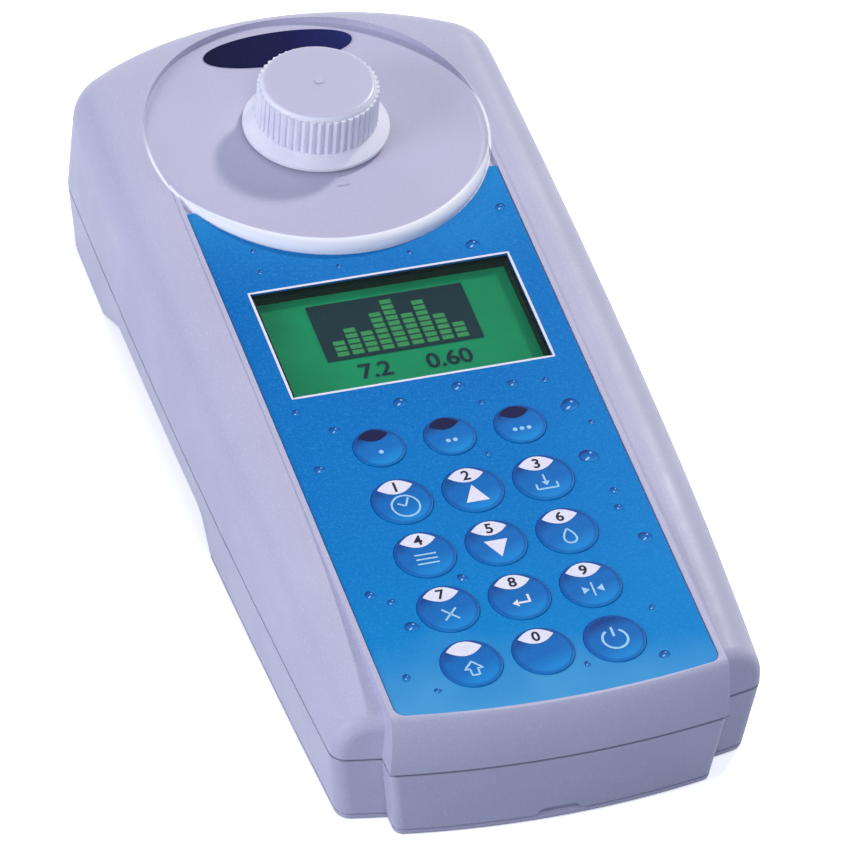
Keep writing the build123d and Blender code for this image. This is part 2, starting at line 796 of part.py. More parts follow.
def display_pieces():
    """Clear window, display glass, its light guide and the frame that holds both."""
    width = window_width + 2 * glass_margin
    height = window_height + 2 * glass_margin
    spot = (0, on_film(window_y))
    with BuildPart() as display_window:
        with BuildSketch(film_level(window_thickness - stack_gap)):
            with Locations(spot):
                Rectangle(window_width - 2 * window_fit, window_height - 2 * window_fit)
        extrude(amount=window_thickness - stack_gap)
    save(display_window, "display_window")
    with BuildPart() as display_glass:
        with BuildSketch(film_level(display_depth)):
            with Locations(spot):
                Rectangle(width, height)
        extrude(amount=-glass_thickness)
    save(display_glass, "display_glass")
    with BuildPart() as display_backlight:
        with BuildSketch(film_level(display_depth + glass_thickness + stack_gap)):
            with Locations(spot):
                Rectangle(width, height)
        extrude(amount=-backlight_thickness)
    save(display_backlight, "display_backlight")
    with BuildPart() as display_frame:
        with BuildSketch(film_level(display_depth)):
            with Locations(spot):
                RectangleRounded(width + 2 * frame_wall, height + 2 * frame_wall, frame_wall)
                Rectangle(width + 2 * stack_gap, height + 2 * stack_gap, mode=Mode.SUBTRACT)
        extrude(amount=display_depth - board_depth)
    save(display_frame, "display_frame")


def board_pieces():
    """Main board with its processor, and a snap dome under every key."""
    with BuildPart() as main_board:
        with BuildSketch(film_level(board_depth)):
            with Locations((0, on_film((board_front_y + board_rear_y) / 2))):
                Rectangle(2 * board_half_width, on_film(board_rear_y - board_front_y))
            with Locations(*board_screw_places):
                Circle(small_screw_r + head_gap, mode=Mode.SUBTRACT)
        extrude(amount=-board_thickness)
        with BuildSketch(film_level(board_depth + board_thickness)):
            with Locations((0, on_film(window_y))):
                Rectangle(chip_size, chip_size)
        extrude(amount=-chip_height)
    save(main_board, "main_board")
    with BuildPart() as snap_domes:
        with BuildSketch(film_level(board_depth)):
            with Locations(*[(x, y) for _, x, y, _ in key_spots()]):
                Circle(dome_r)
        extrude(amount=dome_height, taper=dome_slope)
    save(snap_domes, "snap_domes")


def station_plane(index, r):
    """Plane across one optical station of the ring, at the distance r from the vial's axis."""
    turn = radians(180 / stations * (index + 0.5))
    outward = (cos(turn), sin(turn), 0)
    return Plane((0, vial_y, optics_z), (-sin(turn), cos(turn), 0), outward).offset(r)


def chamber_pieces():
    """Sample chamber with its optics ring: lamps and filters on one side, receivers on the other."""
    ring_bottom_z = optics_z - ring_height / 2
    with BuildPart() as sample_chamber:
        with BuildSketch(Plane.XY.offset(chamber_bottom_z)):
            with Locations((0, vial_y)):
                Circle(chamber_r)
        extrude(amount=flange_top_z - chamber_bottom_z)
        with BuildSketch(Plane.XY.offset(ring_bottom_z)):
            with Locations((0, vial_y)):
                Circle(ring_r)
        extrude(amount=ring_height)
        with BuildSketch(Plane.XY.offset(flange_top_z - flange_thickness)):
            with Locations((0, vial_y)):
                Circle(flange_r)
        extrude(amount=flange_thickness)
        with BuildSketch(Plane.XY.offset(chamber_bottom_z + chamber_floor)):
            with Locations((0, vial_y)):
                Circle(chamber_bore_r)
        extrude(amount=flange_top_z, mode=Mode.SUBTRACT)
        with BuildSketch(Plane.XY.offset(flange_top_z)):
            with Locations((0, vial_y)):
                with PolarLocations(chamber_screw_circle_r, chamber_screws_count, chamber_screw_angle):
                    Circle(small_screw_r + head_gap)
        extrude(amount=-flange_thickness, mode=Mode.SUBTRACT)
        for index in range(2 * stations):
            with BuildSketch(station_plane(index, chamber_r)):
                Circle(station_bore_r)
            extrude(amount=ring_r, mode=Mode.SUBTRACT)
            with BuildSketch(station_plane(index, 0)):
                Circle(light_port_r)
            extrude(amount=ring_r, mode=Mode.SUBTRACT)
    save(sample_chamber, "sample_chamber")
    with BuildPart() as optics_board:
        with BuildSketch(Plane.XY.offset(ring_bottom_z + ring_height)):
            with Locations((0, vial_y)):
                Circle(optics_board_r)
                Circle(chamber_r + head_gap, mode=Mode.SUBTRACT)
        extrude(amount=board_thickness)
    save(optics_board, "optics_board")
    filter_r = station_bore_r - optics_fit
    lamp_from = chamber_r + filter_thickness + 2 * optics_fit
    with BuildPart() as interference_filters:
        for index in range(stations):
            with BuildSketch(station_plane(index, chamber_r + optics_fit)):
                Circle(filter_r)
            extrude(amount=filter_thickness)
    save(interference_filters, "interference_filters")
    with BuildPart() as leds:
        for index in range(stations):
            with BuildSketch(station_plane(index, lamp_from)):
                Circle(led_r)
            extrude(amount=led_length)
            with BuildSketch(station_plane(index, lamp_from + led_length)):
                Circle(led_r + led_rim)
            extrude(amount=-led_rim_length)
    save(leds, "leds")
    with BuildPart() as photodiodes:
        for index in range(stations, 2 * stations):
            with BuildSketch(station_plane(index, chamber_r + optics_fit)):
                Circle(filter_r)
            extrude(amount=photodiode_length)
    save(photodiodes, "photodiodes")


def deck_badge_piece():
    """Plain oval badge on the deck, behind the cap."""
    with BuildPart() as deck_badge:
        with BuildSketch(Plane.XY.offset(deck_z)):
            with Locations((0, vial_y + badge_from_vial)):
                Ellipse(badge_length / 2, badge_width / 2)
        extrude(amount=badge_thickness)
    save(deck_badge, "deck_badge")


def vial_pieces():
    """Glass vial, the liner that seals it, and its ribbed screw cap."""
    inner_r = vial_r - vial_wall
    with BuildPart() as vial_glass:
        with BuildSketch(axis_plane) as profile:
            with BuildLine():
                Polyline(
                    (0, vial_bottom_z),
                    (vial_r, vial_bottom_z),
                    (vial_r, shoulder_from_z),
                    (neck_r, neck_from_z),
                    (neck_r, vial_lip_z),
                    (neck_r - vial_wall, vial_lip_z),
                    (neck_r - vial_wall, neck_from_z),
                    (inner_r, shoulder_from_z),
                    (inner_r, vial_bottom_z + vial_floor),
                    (0, vial_bottom_z + vial_floor),
                    close=True,
                )
            make_face()
            fillet(profile.vertices().group_by(Axis.Y)[0].sort_by(Axis.X)[-1], vial_wall)
        revolve(axis=vial_axis)
    save(vial_glass, "vial_glass")
    with BuildPart() as cap_liner:
        with BuildSketch(Plane.XY.offset(liner_z)):
            with Locations((0, vial_y)):
                Circle(neck_r)
        extrude(amount=liner_thickness)
    save(cap_liner, "cap_liner")
    with BuildPart() as vial_cap:
        with BuildSketch(axis_plane) as profile:
            with BuildLine():
                Polyline(
                    (0, cap_brim_z),
                    (cap_brim_r, cap_brim_z),
                    (cap_brim_r, cap_brim_z + cap_brim_height),
                    (cap_skirt_r + cap_rib_r, cap_skirt_z),
                    (cap_skirt_r, cap_skirt_z),
                    (cap_skirt_r, cap_top_z),
                    (0, cap_top_z),
                    close=True,
                )
            make_face()
            fillet(profile.vertices().group_by(Axis.Y)[-1].sort_by(Axis.X)[-1], cap_edge_r)
        revolve(axis=vial_axis)
        with BuildSketch(Plane.XY.offset(cap_skirt_z)):
            with Locations((0, vial_y)):
                with PolarLocations(cap_skirt_r, cap_ribs):
                    RegularPolygon(cap_rib_r, 6)
        extrude(amount=cap_top_z - cap_edge_r - cap_skirt_z)
        with BuildSketch(Plane.XY.offset(cap_top_z)):
            with Locations((0, vial_y)):
                Circle(cap_nub_r)
        extrude(amount=cap_nub_height)
        with BuildSketch(Plane.XY.offset(cap_brim_z)):
            with Locations((0, vial_y)):
                Circle(neck_r + cap_thread_gap)
        extrude(amount=cap_inner_top_z - cap_brim_z, mode=Mode.SUBTRACT)
    save(vial_cap, "vial_cap")


def screw_pieces():
    """The four groups of screws."""
    screw_group("housing_screws", housing_screw_spots, Plane.XY, screw_seat_z,
                screw_r, screw_head_r, screw_head_height, parting_z - screw_seat_z + screw_bite)
    screw_group("battery_cover_screws", cover_screw_spots, Plane.XY, small_head_height + stack_gap,
                small_screw_r, small_head_r, small_head_height, screw_bite)
    screw_group("board_screws", board_screw_places, film_plane, -board_depth - board_thickness,
                small_screw_r, small_head_r, small_head_height, board_thickness + small_bite)
    ring = PolarLocations(chamber_screw_circle_r, chamber_screws_count, chamber_screw_angle)
    spots = [(place.position.X, place.position.Y + vial_y) for place in ring.local_locations]
    screw_group("chamber_screws", spots, Plane.XY, flange_top_z - flange_thickness,
                small_screw_r, small_head_r, small_head_height, flange_thickness + chamber_bite - head_gap)


upper_housing_piece()
lower_housing_piece()
battery_cover_piece()
seal_pieces()
screw_pieces()
battery_pieces()
keypad_film_piece()
key_pieces()
display_pieces()
board_pieces()
chamber_pieces()
deck_badge_piece()
vial_pieces()
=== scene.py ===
"""Looks of a hand-held pool water photometer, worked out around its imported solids.

The solids get their finishes. The print on film, keys and display, the vial's thread and line and the
screws' recesses are added as surfaces worked out with numpy. Camera, lights and surround come last. Named
sizes are in millimetres, and the scene is in metres."""

import math

import bpy
import numpy as np
from mathutils import Matrix, Vector


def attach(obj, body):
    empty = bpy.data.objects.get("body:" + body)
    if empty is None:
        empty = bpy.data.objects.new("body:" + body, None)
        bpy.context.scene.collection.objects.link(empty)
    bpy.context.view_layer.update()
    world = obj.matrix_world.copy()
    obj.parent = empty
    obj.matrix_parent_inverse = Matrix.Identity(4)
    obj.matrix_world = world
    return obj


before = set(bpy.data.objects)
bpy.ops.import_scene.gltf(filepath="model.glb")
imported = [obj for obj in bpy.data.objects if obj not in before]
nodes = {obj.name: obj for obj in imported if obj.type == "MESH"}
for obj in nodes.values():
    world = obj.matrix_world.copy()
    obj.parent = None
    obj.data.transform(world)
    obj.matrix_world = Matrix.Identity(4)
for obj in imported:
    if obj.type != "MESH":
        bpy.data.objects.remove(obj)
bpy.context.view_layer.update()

MM = 0.001

# The film's plane: it rises towards the head
TILT = math.radians(4.2)
FILM_Z = 37.45
FILM_HALF_WIDTH = 34.0
FILM_FRONT_Y = -104.0
FILM_REAR_Y = 48.0
FILM_GRAIN = 0.006 * MM
PRINT_LIFT = 0.03
FIGURE_WEIGHT = 0.022

# Window and the display behind it
WINDOW_V = 4.6 / math.cos(TILT)
WINDOW_WIDTH = 56.0
WINDOW_HEIGHT = 30.7
WELL_Y = 4.7
DISPLAY_DEPTH = 2.9
PICTURE_POINT = 0.45

# Keys
KEY_PITCH_X = 15.14
KEY_PITCH_V = 15.35 / math.cos(TILT)
KEY_ROWS = (("1", "2", "3"), ("4", "5", "6"), ("7", "8", "9"), ("shift", "0", "on_off"))
KEY_FRONT_V = -90.1 / math.cos(TILT)
KEY_FUNCTION_V = -28.4 / math.cos(TILT)
KEY_R = 6.35
FUNCTION_KEY_R = 5.4
KEY_CROWN = 0.25
SIGN_LIFT = KEY_CROWN + 2 * PRINT_LIFT
DIGIT_LIFT = KEY_CROWN + 3 * PRINT_LIFT
DIGIT_HEIGHT = 2.65
LENS_RISE = 0.63
DOT_R = 0.5
DOT_PITCH = 1.5

# Deck
DECK_Y = 63.7
DECK_R = 36.7
# Widths of the painted highlight on the deck edge, at its front and at its back
RIM_HIGHLIGHT_BAND = 1.9
RIM_HIGHLIGHT_LINE = 0.45
BADGE_HALF = 17.0

# Height of the seam between both housings
SEAM_Z = 17.4

# Vial, cap and the thread between them
VIAL_Y = 64.7
NECK_R = 10.0
BODY_R = 12.0
THREAD_PITCH = 3.0
THREAD_TURNS = 2.0
THREAD_START_Z = 44.6
THREAD_RISE = 0.26
THREAD_HALF_WIDTH = 0.55
THREAD_FADE = 0.06
FILL_Z = 33.2
FILL_LINE = 0.5
CAP_TOP_Z = 55.1

# Screw heads underneath: places (x, y), height of the recess and half its length
HOUSING_SCREWS = ((37.4, 81.0), (37.4, -58.0), 4.38, 1.7)
COVER_SCREWS = ((37.4, -89.0), (37.4, -23.0), 0.03, 1.25)
RECESS_HALF_WIDTH = 0.22


# Colours and node helpers

REFLECTED = ("Is Glossy Ray", "Is Transmission Ray")


def linear(code):
    """Scene-linear colour of a six-digit screen colour, by the standard transfer curve."""
    parts = [int(code[i : i + 2], 16) / 255 for i in (0, 2, 4)]
    return [c / 12.92 if c <= 0.04045 else ((c + 0.055) / 1.055) ** 2.4 for c in parts] + [1.0]


class Finish:
    """A material's node tree, with short calls for the nodes that the finishes share."""

    def __init__(self, name, **sockets):
        self.material = bpy.data.materials.new(name)
        self.material.use_nodes = True
        self.tree = self.material.node_tree
        self.shader = self.tree.nodes["Principled BSDF"]
        self.set(self.shader, **sockets)
        self.place = self.add("ShaderNodeTexCoord").outputs["Object"]

    def feed(self, socket, value):
        """Links a socket's value from another node, or sets it to a constant."""
        if isinstance(value, bpy.types.NodeSocket):
            self.tree.links.new(value, socket)
        else:
            socket.default_value = value

    def set(self, node, **sockets):
        """Sets a node's inputs by name, with underscores for spaces."""
        for key, value in sockets.items():
            self.feed(node.inputs[key.replace("_", " ")], value)

    def add(self, kind, **sockets):
        """A new node with its inputs set."""
        node = self.tree.nodes.new(kind)
        self.set(node, **sockets)
        return node

    def noise(self, scale, detail=2.0, rough=0.5):
        """Noise value between 0 and 1; the scale is in features per metre."""
        node = self.add("ShaderNodeTexNoise", Vector=self.place, Scale=scale, Detail=detail, Roughness=rough)
        return node.outputs["Fac"]

    def math(self, operation, a, b=0.0):
        """One arithmetic step on values."""
        node = self.tree.nodes.new("ShaderNodeMath")
        node.operation = operation
        for socket, value in zip(node.inputs, (a, b)):
            self.feed(socket, value)
        return node.outputs[0]

    def remap(self, value, low, high, to_low=0.0, to_high=1.0, smooth=True):
        """Value moved from one range to another and kept inside it."""
        node = self.tree.nodes.new("ShaderNodeMapRange")
        node.interpolation_type = "SMOOTHSTEP" if smooth else "LINEAR"
        for socket, v in zip(node.inputs, (value, low, high, to_low, to_high)):
            self.feed(socket, v)
        return node.outputs[0]

    def ramp(self, value, *stops):
        """Colour by value: each stop is a position and a six-digit colour."""
        node = self.add("ShaderNodeValToRGB", Fac=value)
        elements = node.color_ramp.elements
        while len(elements) < len(stops):
            elements.new(1.0)
        for element, (position, code) in zip(elements, stops):
            element.position = position
            element.color = linear(code)
        return node.outputs["Color"]

    def mix(self, factor, a, b):
        """Mix of two colours, each a socket or a six-digit colour."""
        node = self.tree.nodes.new("ShaderNodeMix")
        node.data_type = "RGBA"
        for name, value in (("Factor_Float", factor), ("A_Color", a), ("B_Color", b)):
            socket = next(s for s in node.inputs if s.identifier == name)
            self.feed(socket, linear(value) if isinstance(value, str) else value)
        return next(s for s in node.outputs if s.identifier == "Result_Color")

    def split(self, vector=None):
        """X, Y and Z of a vector."""
        node = self.add("ShaderNodeSeparateXYZ", Vector=vector or self.place)
        return node.outputs[0], node.outputs[1], node.outputs[2]

    def distance(self, a, b):
        """Length of the flat vector with the parts a and b."""
        return self.math("SQRT", self.math("ADD", self.math("MULTIPLY", a, a), self.math("MULTIPLY", b, b)))

    def off(self, value, middle):
        """How far a value is from the middle, to either side."""
        return self.math("ABSOLUTE", self.math("SUBTRACT", value, middle))

    def seen(self, path):
        """1 on camera, glossy and transmission rays, 0 on the rays that light the object."""
        seen = path.outputs["Is Camera Ray"]
        for ray in REFLECTED:
            seen = self.math("MAXIMUM", seen, path.outputs[ray])
        return seen

    def bump(self, height, distance):
        """Bump from a height value, distance in metres."""
        node = self.add("ShaderNodeBump", Height=height, Distance=distance, Strength=1.0)
        self.set(self.shader, Normal=node.outputs["Normal"])

    def colour(self, socket):
        """Uses a colour socket as the base colour."""
        self.set(self.shader, Base_Color=socket)


def paint(finish, *objects):
    """Gives each object the finish in all its material slots."""
    for piece in objects:
        if not piece.data.materials:
            piece.data.materials.append(finish.material)
        for slot in piece.material_slots:
            slot.material = finish.material


# Finishes


def moulded_plastic(name, base, shade, light, roughness=0.42):
    """Fine-grained moulded plastic: slow tint change, tiny specks, eroded-mould bump."""
    finish = Finish(name, Specular_IOR_Level=0.18)
    slow = finish.noise(28.0, 3.0, 0.6)
    specks = finish.noise(2600.0, 1.0, 0.5)
    tint = finish.ramp(slow, (0.3, shade), (0.7, base))
    finish.colour(finish.mix(finish.remap(specks, 0.56, 0.74, 0.0, 0.4), tint, light))
    rub = finish.noise(90.0, 4.0, 0.7)
    finish.set(finish.shader, Roughness=finish.remap(rub, 0.3, 0.7, roughness - 0.05, roughness + 0.06))
    finish.bump(finish.noise(1500.0, 3.0, 0.6), 0.03 * MM)
    return finish


def housing_plastic():
    """The housing's plastic, with a painted highlight on the deck edge at the front, a painted dark line of
    shade where both housings meet, and painted shade on the walls of the window well.
    """
    finish = moulded_plastic("housing_grey", "c4c1d6", "bebbd0", "dcdaea")
    tint = finish.shader.inputs["Base Color"].links[0].from_socket
    x, y, z = finish.split()
    # Painted highlight on the deck edge: a ring that ends at the deck's radius and narrows from front to back
    r = finish.distance(x, finish.math("SUBTRACT", y, DECK_Y * MM))
    width = finish.remap(y, (DECK_Y - 30) * MM, (DECK_Y - 8) * MM, RIM_HIGHLIGHT_BAND * MM, RIM_HIGHLIGHT_LINE * MM)
    outer = finish.remap(finish.math("ADD", r, width), (DECK_R - 0.1) * MM, (DECK_R + 0.15) * MM)
    inner = finish.remap(r, (DECK_R + 0.05) * MM, (DECK_R + 0.25) * MM, 1.0, 0.0)
    front = finish.remap(y, (DECK_Y - 4) * MM, (DECK_Y + 14) * MM, 1.0, 0.0)
    edge = finish.math("MULTIPLY", finish.math("MULTIPLY", outer, inner), front)
    # Painted shade: a dark band where both housings meet
    painted_seam_shade = finish.remap(finish.off(z, SEAM_Z * MM), 0.14 * MM, 0.34 * MM, 0.75, 0.0)
    # The deck edge's ring is mixed to near white: a painted highlight
    skin = finish.mix(edge, finish.mix(painted_seam_shade, tint, "4c4f68"), "fbfaff")
    # Walls of the window's well, painted near black as the shade in the well
    across = finish.remap(finish.off(x, 0.0), (WINDOW_WIDTH / 2 + 0.05) * MM,
                          (WINDOW_WIDTH / 2 + 0.1) * MM, 1.0, 0.0)
    along = finish.remap(finish.off(y, WELL_Y * MM), (WINDOW_HEIGHT / 2 + 0.08) * MM,
                         (WINDOW_HEIGHT / 2 + 0.16) * MM, 1.0, 0.0)
    finish.colour(finish.mix(finish.math("MULTIPLY", across, along), skin, "0a1512"))
    return finish


def film_print_with_painted_glare():
    """Blue printed film, deepest in its upper half, with a slow random drift of tone; paler at its lower and
    rear ends and towards its right side, which is painted glare.
    """
    finish = Finish("film_print_painted_glare", Specular_IOR_Level=0.08, Coat_Weight=0.02, Coat_Roughness=0.15)
    x, y, _ = finish.split()
    # Painted glare: the ramp is pale at the film's lower and rear ends; its deep middle is the print's blue
    along = finish.remap(y, FILM_FRONT_Y * MM, FILM_REAR_Y * MM, 0.0, 1.0, smooth=False)
    drift = finish.math("MULTIPLY", finish.math("SUBTRACT", finish.noise(22.0, 3.0, 0.55), 0.5), 0.35)
    base = finish.ramp(finish.math("ADD", along, drift), (0.0, "4a9fd4"), (0.12, "0084c9"), (0.4, "0079c2"),
                       (0.75, "006cb8"), (1.0, "2388cb"))
    # Painted glare: lighter towards the film's right side
    right = finish.remap(x, 10 * MM, FILM_HALF_WIDTH * MM, 0.0, 0.16)
    base = finish.mix(right, base, "1f94dc")
    fine = finish.noise(1900.0, 2.0, 0.6)
    finish.colour(finish.mix(finish.remap(fine, 0.45, 0.75, 0.0, 0.26), base, "3fa4e2"))
    finish.set(finish.shader, Roughness=finish.remap(fine, 0.3, 0.7, 0.34, 0.44))
    finish.bump(finish.noise(2400.0, 2.0, 0.5), FILM_GRAIN)
    return finish


def drop_print(name, top, body, edge, light):
    """Printed water drop, read from its own UV map: dark top, clear body, lighter foot and a darker edge."""
    finish = Finish(name, Specular_IOR_Level=0.12, Coat_Weight=0.03, Coat_Roughness=0.15, Roughness=0.38)
    uv = finish.add("ShaderNodeUVMap")
    uv.uv_map = "drop"
    u, v, _ = finish.split(uv.outputs["UV"])
    r = finish.distance(u, v)
    rim = finish.math("MULTIPLY", finish.remap(r, 0.84, 0.93), finish.remap(r, 0.95, 1.0, 1.0, 0.35))
    slope = finish.math("SUBTRACT", v, finish.math("MULTIPLY", u, 0.3))
    high = finish.remap(slope, 0.1, 1.0, 0.0, 1.0)
    low = finish.remap(slope, -0.9, -0.1, 1.0, 0.0)
    grain = finish.noise(1500.0, 2.0, 0.6)
    base = finish.mix(finish.math("MULTIPLY", low, 0.8), body, light)
    base = finish.mix(finish.math("MULTIPLY", high, finish.remap(r, 0.1, 0.9, 0.5, 1.0)), base, top)
    base = finish.mix(finish.math("MULTIPLY", rim, finish.remap(v, -1.0, 0.6, 0.55, 0.9)), base, edge)
    finish.colour(finish.mix(finish.remap(grain, 0.45, 0.75, 0.0, 0.12), base, "2c98de"))
    finish.bump(finish.noise(2400.0, 2.0, 0.5), FILM_GRAIN)
    return finish


def plain_print(name, code, second, roughness=0.4):
    """Printed ink of one colour with the film's fine grain."""
    finish = Finish(name, Specular_IOR_Level=0.12, Coat_Weight=0.03, Coat_Roughness=0.15, Roughness=roughness)
    grain = finish.noise(1700.0, 2.0, 0.6)
    finish.colour(finish.ramp(grain, (0.35, code), (0.75, second)))
    finish.bump(finish.noise(2400.0, 2.0, 0.5), FILM_GRAIN)
    return finish


def display_green():
    """Reflective green display: darker cell lines between small picture points, slow cloudiness."""
    finish = Finish("display_green", Roughness=0.4, Specular_IOR_Level=0.08, Coat_Weight=0.02,
                    Coat_Roughness=0.1)
    x, y, _ = finish.split()
    cloud = finish.noise(60.0, 3.0, 0.6)
    base = finish.ramp(cloud, (0.3, "0fa368"), (0.7, "14b878"))
    per_point = 1 / (PICTURE_POINT * MM)
    lines = [finish.math("PINGPONG", finish.math("MULTIPLY", axis, per_point), 0.5) for axis in (x, y)]
    shade = finish.remap(finish.math("MINIMUM", *lines), 0.03, 0.12, 0.10, 0.0)
    finish.colour(finish.mix(shade, base, "064a30"))
    finish.bump(finish.noise(900.0, 1.0, 0.5), 0.002 * MM)
    return finish


def clear_pane():
    """The window's pane: a thin dark tint that lets most light through, hazed in tint and gloss."""
    finish = Finish("window_clear", Transmission_Weight=0.0, IOR=1.5, Alpha=0.12)
    haze = finish.noise(45.0, 4.0, 0.6)
    finish.colour(finish.ramp(haze, (0.3, "0c2a22"), (0.8, "1c4a3c")))
    finish.set(finish.shader, Roughness=finish.remap(haze, 0.3, 0.8, 0.08, 0.13))
    return finish


def vial_glass_finish():
    """Clear glass with a trace of green and a slight unevenness in gloss and surface."""
    finish = Finish("vial_glass", Transmission_Weight=0.9, IOR=1.47)
    lines = finish.noise(120.0, 2.0, 0.4)
    finish.colour(finish.ramp(lines, (0.3, "eef7f4"), (0.7, "ffffff")))
    finish.set(finish.shader, Roughness=finish.remap(lines, 0.3, 0.7, 0.01, 0.04))
    finish.bump(lines, 0.01 * MM)
    return finish


def cap_white():
    """White moulded cap that lets some light in, with painted shade that makes its flat top greyer, and soft
    flow marks.
    """
    finish = Finish("cap_white", Subsurface_Weight=0.4, Subsurface_Scale=3.0 * MM,
                    Subsurface_Radius=(1.0, 0.95, 0.9), Coat_Weight=0.15, Coat_Roughness=0.2)
    flow = finish.noise(140.0, 3.0, 0.6)
    white = finish.ramp(flow, (0.3, "e6e4f2"), (0.7, "efeef8"))
    _, _, z = finish.split()
    # Painted shade: the flat top is mixed to grey
    finish.colour(finish.mix(finish.remap(z, (CAP_TOP_Z - 0.5) * MM, CAP_TOP_Z * MM), white, "c4c1d6"))
    finish.set(finish.shader, Roughness=finish.remap(flow, 0.3, 0.7, 0.30, 0.42))
    finish.bump(finish.noise(1300.0, 2.0, 0.5), 0.008 * MM)
    return finish


def brushed(name, light, dark, roughness=0.28, scale=900.0):
    """Turned or plated metal: fine mottling in tone and gloss."""
    finish = Finish(name, Metallic=1.0)
    fleck = finish.noise(scale, 3.0, 0.7)
    finish.colour(finish.ramp(fleck, (0.3, dark), (0.7, light)))
    finish.set(finish.shader, Roughness=finish.remap(fleck, 0.3, 0.7, roughness - 0.06, roughness + 0.08))
    finish.bump(fleck, 0.006 * MM)
    return finish


def soft_seal():
    """Matte black rubber with a dusty bloom."""
    finish = Finish("seal_black", Specular_IOR_Level=0.3)
    bloom = finish.noise(260.0, 4.0, 0.7)
    finish.colour(finish.ramp(bloom, (0.3, "151518"), (0.75, "2a2a2e")))
    finish.set(finish.shader, Roughness=finish.remap(bloom, 0.3, 0.7, 0.6, 0.8))
    finish.bump(bloom, 0.01 * MM)
    return finish


def circuit_board():
    """Green solder mask that lets paler tracks show through in places."""
    finish = Finish("board_green", Coat_Weight=0.3, Coat_Roughness=0.15, Roughness=0.45)
    tracks = finish.add("ShaderNodeTexBrick", Vector=finish.place, Scale=400.0, Mortar_Size=0.04,
                        Color1=linear("0b5a2a"), Color2=linear("0d6a33"), Mortar=linear("2b8a4a"))
    mask = finish.noise(240.0, 2.0, 0.5)
    finish.colour(finish.mix(finish.remap(mask, 0.4, 0.7, 0.0, 0.6), tracks.outputs["Color"], "0a4f26"))
    finish.bump(tracks.outputs["Fac"], 0.02 * MM)
    return finish


def badge_navy():
    """Deep navy enamel, a little lighter towards its right end, under a thin clear coat."""
    finish = Finish("badge_navy", Specular_IOR_Level=0.06, Coat_Weight=0.02, Coat_Roughness=0.1,
                    Roughness=0.35)
    x, _, _ = finish.split()
    sweep = finish.remap(x, -BADGE_HALF * MM, BADGE_HALF * MM, 0.0, 1.0, smooth=False)
    fleck = finish.noise(1800.0, 2.0, 0.5)
    base = finish.ramp(sweep, (0.0, "070a30"), (0.6, "0a0f45"), (1.0, "1a2260"))
    finish.colour(finish.mix(finish.remap(fleck, 0.5, 0.8, 0.0, 0.12), base, "39407c"))
    finish.bump(fleck, 0.002 * MM)
    return finish


# Surfaces

# First ring of a filled shape, as a share of its size: its middle closes to less than the eye can see
DISC_START = 0.002

# Rings in the flat part of a key's print, and in a small drop
FLAT_RINGS = 12
DROP_RINGS = 7


def film_point(u, v, lift):
    """Points on the film: u across, v up the slope from the middle, lift above it, all in millimetres."""
    u, v, lift = np.broadcast_arrays(*(np.asarray(a, float) for a in (u, v, lift)))
    y = v * math.cos(TILT) - lift * math.sin(TILT)
    z = FILM_Z + v * math.sin(TILT) + lift * math.cos(TILT)
    return np.stack([u, y, z], axis=-1) * MM


def grid_faces(rows, columns, wrap):
    """Quads of a grid, row by row; with wrap the last column joins the first."""
    last = columns if wrap else columns - 1
    i, j = np.meshgrid(np.arange(rows - 1), np.arange(last), indexing="ij")
    k = (j + 1) % columns
    near, far = i * columns, (i + 1) * columns
    return np.stack([near + j, near + k, far + k, far + j], axis=-1).reshape(-1, 4)


def painted_piece(name, mesh, finish):
    """Puts a finished mesh into the scene as one object with its finish."""
    piece = bpy.data.objects.new(name, mesh)
    bpy.context.scene.collection.objects.link(piece)
    paint(finish, piece)
    return piece


def mesh_piece(name, points, faces, body, finish, uv=None):
    """One piece from arrays of points and faces, riding on a body, with an optional point-wise UV map."""
    mesh = bpy.data.meshes.new(name)
    mesh.from_pydata(points.reshape(-1, 3).tolist(), [], [list(f) for f in faces.tolist()])
    if uv is not None:
        layer = mesh.uv_layers.new(name="drop")
        corners = np.empty(len(mesh.loops), dtype=np.int64)
        mesh.loops.foreach_get("vertex_index", corners)
        layer.data.foreach_set("uv", uv.reshape(-1, 2)[corners].astype(np.float32).ravel())
    mesh.update()
    piece = painted_piece(name, mesh, finish)
    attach(piece, body)


def join_grids(grids):
    """Several (points, faces) pairs as one, faces renumbered."""
    points, faces, offset = [], [], 0
    for p, f in grids:
        p = p.reshape(-1, 3)
        points.append(p)
        faces.append(f + offset)
        offset += len(p)
    return np.concatenate(points), np.concatenate(faces)


def disc_grid(cu, cv, outline, lift, rings):
    """Filled shape on the film: the outline, a radius by angle, scaled by s from nearly 0 to 1."""
    angle = np.linspace(0, 2 * np.pi, len(outline), endpoint=False)
    s = np.linspace(DISC_START, 1, rings)[:, None]
    u = s * outline * np.cos(angle)
    v = s * outline * np.sin(angle)
    return film_point(cu + u, cv + v, lift), grid_faces(rings, len(outline), True)


def lens_grid(cu, cv, half, rise, lift, tilt, columns=24, rows=6):
    """Lens shape: across t from -1 to 1, height rise * (1 - t squared) up and down, turned by tilt."""
    t = np.sin(np.linspace(-np.pi / 2, np.pi / 2, columns))[None, :]
    s = np.linspace(-1, 1, rows)[:, None]
    u = half * t + 0 * s
    v = rise * (1 - t**2) * s
    turned_u = u * math.cos(tilt) - v * math.sin(tilt)
    turned_v = u * math.sin(tilt) + v * math.cos(tilt)
    return film_point(cu + turned_u, cv + turned_v, lift), grid_faces(rows, columns, False)


